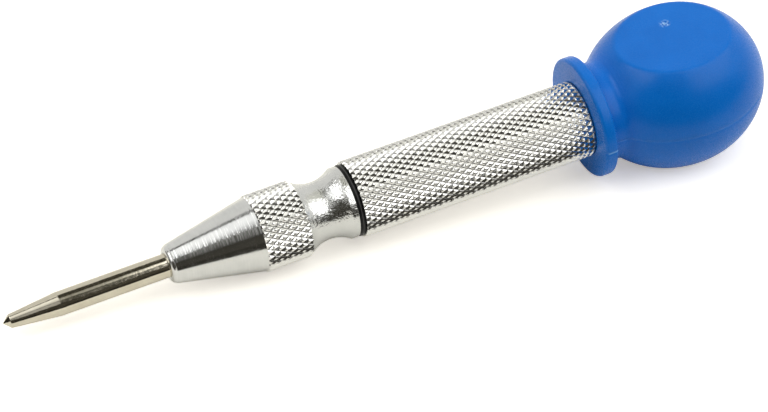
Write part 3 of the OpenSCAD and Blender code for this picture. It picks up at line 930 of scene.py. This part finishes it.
# %% Turned and knurled barrel
KNURL_CHAMFER, LAND_R, LAND_L, REAR_THREAD_R = 0.15, 6.15, 7.3, 6.0
FRONT_BORE_R, CHAMBER_R, CHAMBER_L, WEB_T = 5.0, 4.6, 16.1, 5.5
CAM_MOUTH_R, CAM_R, CAM_LAND_L, BORE_R = 3.6, 2.1, 1.5, 4.75
REST_GAP, END_GAP = 0.1, 0.3
KNURL_AHEAD, KNURL_BEHIND = 0.5, 0.05

web_front = barrel_front + CHAMBER_L
web_end = web_front + WEB_T
knurl_end = grip_front - REST_GAP
land_end = grip_front + LAND_L
barrel_outline = [
    (barrel_front, FRONT_BORE_R), (barrel_front, BODY_R - KNURL_CHAMFER),
    (barrel_front + KNURL_CHAMFER, BODY_R), (knurl_end - KNURL_CHAMFER, BODY_R),
    (knurl_end, BODY_R - KNURL_CHAMFER), (knurl_end, LAND_R), (land_end, LAND_R),
    (land_end, REAR_THREAD_R), (barrel_end - SMALL_EDGE, REAR_THREAD_R),
    (barrel_end, REAR_THREAD_R - SMALL_EDGE), (barrel_end, BORE_R), (web_end, BORE_R), (web_end, CAM_R),
    (web_end - CAM_LAND_L, CAM_R), (web_front, CAM_MOUTH_R), (web_front, CHAMBER_R),
    (nose_end + END_GAP, CHAMBER_R), (nose_end + END_GAP, FRONT_BORE_R)]
barrel_mesh = knurled(turned("knurled_barrel", barrel_outline, closed=True, angles=KNURLED_SIDES),
                      barrel_front - KNURL_AHEAD, knurl_end + KNURL_BEHIND, knurl_plating)
finish_between(barrel_mesh, barrel_front, knurl_end, IN_KNURL)
add_piece("knurled_barrel", barrel_mesh, "barrel", "knurled_steel",
          [bright_plating, knurl_plating], "barrel", sharp=30)

# %% [markdown]
# ## Outline of the grip
# The grip is one plastic moulding: a flange, a short neck and a ball that is longer in front than behind.
# A stretched sphere would meet the neck with a crease, so a small arc is fitted that leaves the neck and
# touches the ball. Inside is the pocket of the threaded insert, with the groove that keys it.

# %% Grip outline
FLANGE_T, FLANGE_ROUND, FLANGE_FILLET = 2.2, 0.55, 0.4
GRIP_NECK_R, GRIP_BLEND_R, BALL_R = 8.4, 2.0, 13.69
BALL_CENTRE, BALL_FRONT_L, BALL_REAR_L = 17.7, 16.1, 15.3
BALL_FRONT_STEPS, BALL_REAR_STEPS, BLEND_STEPS = 56, 84, 10
INSERT_R, KEY_GROOVE_W, KEY_GROOVE_DEPTH, MOULD_GAP = 7.8, 3.0, 0.6, 0.02
MOUTH_R, MOUTH_EDGE, FACE_R = 6.25, 0.2, 8.0

ball_middle = grip_front + BALL_CENTRE
leave_angle = math.asin(GRIP_NECK_R / BALL_R)
leave_slope = math.atan(BALL_R * math.cos(leave_angle) / (BALL_FRONT_L * math.sin(leave_angle)))
blend_place = ball_middle - BALL_FRONT_L * math.cos(leave_angle) - GRIP_BLEND_R * math.tan(leave_slope / 2)
blend_end = blend_place + GRIP_BLEND_R * math.sin(leave_slope)
blend_angle = math.acos((ball_middle - blend_end) / BALL_FRONT_L)
flange_end = grip_front + FLANGE_T


def ball_quarter(half_length, start, end, steps):
    """Points along a quarter of the ball's outline."""
    return [(ball_middle - half_length * math.cos(angle), BALL_R * math.sin(angle))
            for angle in np.linspace(start, end, steps + 1)[1:]]


groove_front = (insert_front + insert_end) / 2 - KEY_GROOVE_W / 2 + MOULD_GAP
groove_end = (insert_front + insert_end) / 2 + KEY_GROOVE_W / 2 - MOULD_GAP
groove_r = INSERT_R - KEY_GROOVE_DEPTH + MOULD_GAP
pocket_r = INSERT_R + MOULD_GAP
pocket = [(insert_end + MOULD_GAP, 0), (insert_end + MOULD_GAP, pocket_r), (groove_end, pocket_r),
          (groove_end, groove_r), (groove_front, groove_r), (groove_front, pocket_r),
          (insert_front - MOULD_GAP, pocket_r), (insert_front - MOULD_GAP, MOUTH_R)]
grip_outline = (
    pocket
    + [(grip_front + MOUTH_EDGE, MOUTH_R), (grip_front, MOUTH_R + MOUTH_EDGE), (grip_front, FACE_R)]
    + arc(grip_front + FLANGE_ROUND, FLANGE_R - FLANGE_ROUND, FLANGE_ROUND, 180, 90)
    + arc(flange_end - FLANGE_ROUND, FLANGE_R - FLANGE_ROUND, FLANGE_ROUND, 90, 0)
    + arc(flange_end + FLANGE_FILLET, GRIP_NECK_R + FLANGE_FILLET, FLANGE_FILLET, 180, 270)
    + arc(blend_place, GRIP_NECK_R + GRIP_BLEND_R, GRIP_BLEND_R,
          270, 270 + math.degrees(leave_slope), BLEND_STEPS)
    + ball_quarter(BALL_FRONT_L, blend_angle, math.pi / 2, BALL_FRONT_STEPS)
    + ball_quarter(BALL_REAR_L, math.pi / 2, math.pi, BALL_REAR_STEPS)[:-1]
    + [(grip_end, 0)])
print(f"ball's middle at {ball_middle:.2f}, neck ends at {blend_end:.2f}")

# %% [markdown]
# ## The gate mark
# Plastic ran into the mould through a small gate on the upper flat. Its snapped stub sits in a shallow
# ring, so that it never stands proud of the flat. A bump could fake it, but would stay out of the mesh,
# so a small turned tool, pulled a little out of round, cuts the ring.

# %% The tool for the gate mark
GATE_X, GATE_Y, GATE_SIDES, GATE_DEPTH = 52.2, 3.5, 48, 0.16
STUB_FOOT_R, STUB_TOP_R, WALL_FOOT_R, WALL_TOP_R = 0.42, 0.16, 0.55, 0.85
GATE_WOBBLE = ((0.16, 2, 0.6), (0.10, 5, 0.0))
gate_place = Vector((GATE_X * MM, GATE_Y * MM, flats_high.z))


def gate_tool():
    """A ring with sloping sides that stands across the flat; each wobble has a size, count and phase."""
    ring = [(-GATE_DEPTH, STUB_FOOT_R), (-GATE_DEPTH, WALL_FOOT_R),
            (GATE_DEPTH, WALL_TOP_R), (GATE_DEPTH, STUB_TOP_R)]
    tool = turned("gate_tool", ring, closed=True, angles=GATE_SIDES)
    for vertex in tool.vertices:
        side, lift = vertex.co.y, vertex.co.z - axis_height * MM
        turn = math.atan2(side, lift)
        stretch = 1 + sum(size * math.sin(count * turn + phase) for size, count, phase in GATE_WOBBLE)
        vertex.co.y = side * stretch
        vertex.co.z = axis_height * MM + lift * stretch
    tool.transform(Matrix.Translation(gate_place) @ Matrix.Rotation(math.radians(-90), 4, "Y")
                   @ Matrix.Translation((0, 0, -axis_height * MM)))
    return tool


print(f"gate at {GATE_X}, {GATE_Y} mm, {GATE_DEPTH} mm deep")

# %% [markdown]
# ## Finish of the grip
# The plastic is a satin blue with a fine grain. Where it was torn at the gate it is paler, and along the
# line where the two halves of the mould met it is painted paler, part whitening and part a painted
# highlight on the flash. Those places could be painted on the mesh, but both follow from distances: one
# from the gate, one from the level of the axis, so masks from the coordinates find them.

# %% Masks for torn plastic and the pale seam, part painted highlight
TORN_NEAR, TORN_FAR, TORN_SHARE = 0.5, 1.1, 0.8
SEAM_NEAR, SEAM_FAR = 0.08, 0.22
SEAM_SHARE, BALL_SEAM_SHARE = 0.85, 0.12
FLANGE_FADE, FACE_FADE = (0.2, 0.6), (0.2, 0.5)


def torn_mask(tree, place, specks):
    """Speckled spot round the gate."""
    far = add_node(tree, "ShaderNodeVectorMath", {0: place, 1: gate_place}, operation="DISTANCE")
    spot = spread(tree, far.outputs["Value"], TORN_SHARE, 0, start=TORN_NEAR * MM, end=TORN_FAR * MM)
    return calc(tree, "MULTIPLY", spot, spread(tree, specks, 0, 1, start=0.45, end=0.6))


def seam_whitening_and_sheen_mask(tree, place):
    """Pale seam level with the axis, whitening and painted highlight: clear on the flange's rim, faint on
    the ball, none on the front face.
    """
    parts = add_node(tree, "ShaderNodeSeparateXYZ", {0: place}).outputs
    rise = calc(tree, "ABSOLUTE", calc(tree, "SUBTRACT", parts["Z"], axis_height * MM))
    line = spread(tree, rise, 1, 0, start=SEAM_NEAR * MM, end=SEAM_FAR * MM)
    rim_start, rim_end = ((flange_end + way) * MM for way in FLANGE_FADE)
    face_start, face_end = ((grip_front + way) * MM for way in FACE_FADE)
    on_rim = spread(tree, parts["X"], SEAM_SHARE, BALL_SEAM_SHARE, start=rim_start, end=rim_end)
    behind_face = spread(tree, parts["X"], 0, 1, start=face_start, end=face_end)
    return calc(tree, "MULTIPLY", calc(tree, "MULTIPLY", line, on_rim), behind_face)


print(f"seam {2 * SEAM_FAR} mm wide, torn spot {2 * TORN_FAR} mm wide")

# %% [markdown]
# Soft clouds and small specks of a paler blue keep the large plain ball from looking like a flat colour,
# which one value would give it, and the grain leads its roughness and its bump.

# %% Satin blue
BLUE_DEEP, BLUE_CLOUD, BLUE_SPECK = (0.001, 0.138, 0.56, 1), (0.003, 0.162, 0.63, 1), (0.012, 0.21, 0.68, 1)
# The seam colour is part whitening and part a painted highlight on the flash.
BLUE_TORN, BLUE_SEAM_WHITENING_AND_SHEEN = (0.40, 0.66, 0.95, 1), (0.22, 0.50, 0.86, 1)


def grip_finish():
    """Satin blue plastic with a fine grain and soft clouds."""
    material, tree, shader = new_material("satin_blue", IOR=1.46, Specular_IOR_Level=0.22)
    clouds = effect(tree, CLOUDS, Density=0.12)
    grains = effect(tree, CLOUDS, Density=7.0)
    specks = effect(tree, CLOUDS, Density=2.5)
    place = tree.nodes.new("ShaderNodeTexCoord").outputs["Object"]
    colour = blend(tree, spread(tree, clouds, 0, 1), BLUE_DEEP, BLUE_CLOUD)
    colour = blend(tree, spread(tree, specks, 0, 0.3, start=0.55, end=0.75), colour, BLUE_SPECK)
    colour = blend(tree, torn_mask(tree, place, specks), colour, BLUE_TORN)
    # Painted highlight with some whitening along the mould seam.
    colour = blend(tree, seam_whitening_and_sheen_mask(tree, place), colour, BLUE_SEAM_WHITENING_AND_SHEEN)
    feed(tree, shader, Base_Color=colour, Roughness=spread(tree, grains, 0.22, 0.32),
         Normal=bump(tree, grains, 0.005, before=bump(tree, specks, 0.008)))
    return material


satin_blue = grip_finish()

# %% [markdown]
# ## The grip
# The two halves of the mould met level with the axis and left a fine line, a ridge between two shallow
# dips. Even steps round the grip would have to be very fine to hold it, so the lathe gets closer steps
# only on the two sides where the line runs.

# %% Turned grip with closer steps at the mould line
GRIP_SIDES, LINE_CLEAR = 360, 1.2
LINE_STEPS = (-0.40, -0.20, -0.07, 0.0, 0.07, 0.20, 0.40)

even = np.linspace(0, 2 * math.pi, GRIP_SIDES, endpoint=False)
grip_angles = [side for side in even if abs(math.cos(side)) * BALL_R > LINE_CLEAR * LINE_STEPS[-1]]
grip_angles += [quarter + step / BALL_R for quarter in (math.pi / 2, 3 * math.pi / 2) for step in LINE_STEPS]
grip_mesh = turned("moulded_grip", grip_outline, angles=np.array(sorted(grip_angles)))
print(f"grip turned with {len(grip_angles)} sides")

# %% [markdown]
# Two flats on the ball stop the tool from rolling and give the palm a bearing. Cutting them off would
# leave sharp edges, which a moulding never has, so they are pressed into the turned form with a smooth
# minimum. The points of the mould line move inwards, and the gate mark is cut when the flat is there.

# %% Flats, mould line and gate mark
FLAT_HALF, FLAT_SOFT = 10.648, 0.3
LINE_DIPS = (0.0, 1.0, 1.0, 0.0)
LINE_DEPTH, FLANGE_LINE_DEPTH, NECK_MARGIN = 0.065, 0.10, 0.1

points = np.empty(len(grip_mesh.vertices) * 3)
grip_mesh.vertices.foreach_get("co", points)
points = points.reshape(-1, 3) / MM
offset = points[:, 2] - axis_height
height = np.abs(offset)
radius = np.hypot(points[:, 1], offset)
near = np.maximum(FLAT_SOFT - np.abs(height - FLAT_HALF), 0)
pressed = np.minimum(height, FLAT_HALF) - near ** 2 / (4 * FLAT_SOFT)
points[:, 2] = axis_height + np.sign(offset) * pressed
way = height / np.maximum(radius, 1) * BALL_R
dip = np.interp(way, LINE_STEPS[len(LINE_STEPS) // 2:], LINE_DIPS)
dip *= np.where(points[:, 0] < flange_end + FLANGE_FILLET / 2, FLANGE_LINE_DEPTH, LINE_DEPTH)
outside = (radius > GRIP_NECK_R - NECK_MARGIN) | (points[:, 0] > ball_middle)
points[:, 1] *= 1 - np.where(outside, dip / np.maximum(radius, 1), 0)
grip_mesh.vertices.foreach_set("co", (points * MM).ravel())
grip_mesh = cut(grip_mesh, gate_tool())
add_piece("moulded_grip", grip_mesh, "grip", "blue_plastic", [satin_blue], "grip_cap", sharp=40)

# %% [markdown]
# ## The path of a spring
# A light conical spring pushes the point out, and a strong one drives the hammer. A Screw modifier winds
# only even turns, but the wire of a real spring climbs slowly in the close turns at both ends and faster
# between them. That is a rule, so Geometry Nodes put the points of a straight line on such a path.

# %% Nodes for the path
def helix_place(tree, given):
    """Where a point of a straight line goes on the spring's path."""
    along = tree.nodes.new("GeometryNodeSplineParameter").outputs["Factor"]
    turn = calc(tree, "MULTIPLY", along, given["Turns"])
    last_turn = calc(tree, "SUBTRACT", given["Turns"], 1.0)
    front = calc(tree, "MINIMUM", turn, 1.0)
    rear = calc(tree, "MAXIMUM", calc(tree, "SUBTRACT", turn, last_turn), 0.0)
    close = calc(tree, "ADD", front, rear)
    climb = calc(tree, "ADD", calc(tree, "MULTIPLY", close, given["Close Pitch"]),
                 calc(tree, "MULTIPLY", calc(tree, "SUBTRACT", turn, close), given["Open Pitch"]))
    climb = calc(tree, "ADD", climb, calc(tree, "MULTIPLY", given["Wire"], 0.5))
    wider = calc(tree, "SUBTRACT", given["Rear Radius"], given["Front Radius"])
    radius = calc(tree, "ADD", given["Front Radius"], calc(tree, "MULTIPLY", along, wider))
    angle = calc(tree, "MULTIPLY", turn, 2 * math.pi)
    drop = calc(tree, "MULTIPLY", radius, calc(tree, "COSINE", angle))
    return add_node(tree, "ShaderNodeCombineXYZ",
                    {0: calc(tree, "ADD", climb, given["Front"]),
                     1: calc(tree, "MULTIPLY", radius, calc(tree, "SINE", angle)),
                     2: calc(tree, "SUBTRACT", given["Axis Height"], drop)}).outputs[0]


print("helper: helix_place")

# %% [markdown]
# The tree then sweeps a round wire along the path and closes its ends. A curve with a bevel could do it
# too, but a tree has named inputs, so one tree winds both springs.

# %% The tree that winds a spring
WIRE_SIDES = 12


def spring_tree():
    """Geometry Nodes: a line bent into a helix with close end turns, swept with a round wire."""
    tree, given, result = new_tree(
        "wound_spring", "GeometryNodeTree",
        {"Geometry": "Geometry", "Turns": "Float", "Front Radius": "Float", "Rear Radius": "Float",
         "Wire": "Float", "Close Pitch": "Float", "Open Pitch": "Float", "Front": "Float",
         "Axis Height": "Float", "Points": "Int", "Finish": "Material"},
        {"Spring": "Geometry"})
    line = add_node(tree, "GeometryNodeCurvePrimitiveLine")
    dense = add_node(tree, "GeometryNodeResampleCurve",
                     {"Curve": line.outputs[0], "Count": given["Points"]})
    helix = add_node(tree, "GeometryNodeSetPosition",
                     {"Geometry": dense.outputs[0], "Position": helix_place(tree, given)})
    section = add_node(tree, "GeometryNodeCurvePrimitiveCircle",
                       {"Resolution": WIRE_SIDES, "Radius": calc(tree, "MULTIPLY", given["Wire"], 0.5)})
    swept = add_node(tree, "GeometryNodeCurveToMesh",
                     {"Curve": helix.outputs[0], "Profile Curve": section.outputs[0], "Fill Caps": True})
    real = add_node(tree, "GeometryNodeRealizeInstances", {"Geometry": swept.outputs[0]})
    finished = add_node(tree, "GeometryNodeSetMaterial",
                        {"Geometry": real.outputs[0], "Material": given["Finish"]})
    tree.links.new(finished.outputs[0], result["Spring"])
    return tree


SPRING = spring_tree()

# %% [markdown]
# ## The springs
# The wire is drawn steel, a little oily. Lines along the wire would have to follow its turns; they are too
# fine to be seen here, so soft clouds and a fine grain are enough.

# %% Finish of the wire
WIRE_DARK, WIRE_PALE = (0.40, 0.41, 0.42, 1), (0.58, 0.58, 0.57, 1)


def wire_finish():
    """Drawn spring wire with a little oil."""
    material, tree, shader = new_material("spring_wire", Metallic=1.0)
    clouds = effect(tree, CLOUDS, Density=0.9)
    grains = effect(tree, CLOUDS, Density=9.0)
    feed(tree, shader, Base_Color=blend(tree, spread(tree, clouds, 0, 1), WIRE_DARK, WIRE_PALE),
         Roughness=spread(tree, clouds, 0.22, 0.4), Normal=bump(tree, grains, 0.004))
    return material


spring_wire = wire_finish()

# %% [markdown]
# Each spring lies between two places that the other pieces give, and its open pitch follows from them.
# A stiff one would run into its neighbours when the tool is pressed.

# %% Wound springs
STROKE, CLOSE_GAP, POINTS_PER_TURN = 9, 0.5, 48
RETURN_WIRE, RETURN_TURNS, RETURN_RADII, RETURN_SET = 0.5, 10, (2.5, 3.95), 2.7
MAIN_WIRE, MAIN_TURNS, MAIN_RADII, MAIN_L = 1.3, 10, (3.7, 3.7), 24.1
HAMMER_L = 16.0


def wound_spring(name, node, front, length, wire_d, turns, radii):
    """A spring in place of its solid, wound from a front place over a length."""
    close_pitch = wire_d + CLOSE_GAP
    open_pitch = (length - wire_d - 2 * close_pitch) / (turns - 2)
    mesh = grow(name, bpy.data.meshes.new(name), SPRING,
                {"Turns": float(turns), "Front Radius": radii[0] * MM, "Rear Radius": radii[1] * MM,
                 "Wire": wire_d * MM, "Close Pitch": close_pitch * MM, "Open Pitch": open_pitch * MM,
                 "Front": front * MM, "Axis Height": axis_height * MM,
                 "Points": turns * POINTS_PER_TURN + 1, "Finish": spring_wire})
    piece = add_piece(name, mesh, "barrel", "spring_steel", [spring_wire], node, sharp=60)
    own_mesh(piece)


return_front = point_end + RETURN_SET
hammer_end = web_end + REST_GAP / 2 + HAMMER_L
wound_spring("return_coil", "return_spring", return_front, web_front - REST_GAP - return_front,
             RETURN_WIRE, RETURN_TURNS, RETURN_RADII)
wound_spring("main_coil", "main_spring", hammer_end + REST_GAP / 2, MAIN_L,
             MAIN_WIRE, MAIN_TURNS, MAIN_RADII)

# %% [markdown]
# ## Pieces inside
# Trip pin, hammer, spring seat and cap insert are turned pieces. They could be turned again here, but
# their solids already have the right shape, so they keep them and get a finish: hard ground steel, brass
# and plain turned steel.

# %% Finishes of the inner pieces
HARD_DARK, HARD_PALE = (0.30, 0.30, 0.31, 1), (0.45, 0.45, 0.44, 1)
BRASS_DARK, BRASS_PALE = (0.60, 0.44, 0.20, 1), (0.78, 0.60, 0.30, 1)
STEEL_DARK, STEEL_PALE = (0.46, 0.46, 0.46, 1), (0.62, 0.62, 0.61, 1)


def turned_finish(name, dark, pale, rough, density):
    """Bare turned metal: rings round the piece and soft clouds of handling."""
    material, tree, shader = new_material(name, Metallic=1.0)
    clouds = effect(tree, CLOUDS, Density=0.5)
    rings = effect(tree, RINGS, Density=density)
    feed(tree, shader, Base_Color=blend(tree, spread(tree, clouds, 0, 1), dark, pale),
         Roughness=spread(tree, rings, *rough), Normal=bump(tree, rings, 0.008))
    return material


hard_steel = turned_finish("hard_steel", HARD_DARK, HARD_PALE, (0.2, 0.34), 8.0)
turned_brass = turned_finish("turned_brass", BRASS_DARK, BRASS_PALE, (0.22, 0.36), 6.0)
turned_steel = turned_finish("turned_steel", STEEL_DARK, STEEL_PALE, (0.26, 0.42), 5.0)
for node, material in (("trip_pin", hard_steel), ("hammer", hard_steel),
                       ("spring_seat", turned_brass), ("cap_insert", turned_steel)):
    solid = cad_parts[node]
    solid.data.materials.clear()
    solid.data.materials.append(material)
    print(node, "gets", material.name)

# %% [markdown]
# ## The end
# The view layer is brought up to date once more.

# %% Finish
bpy.context.view_layer.update()
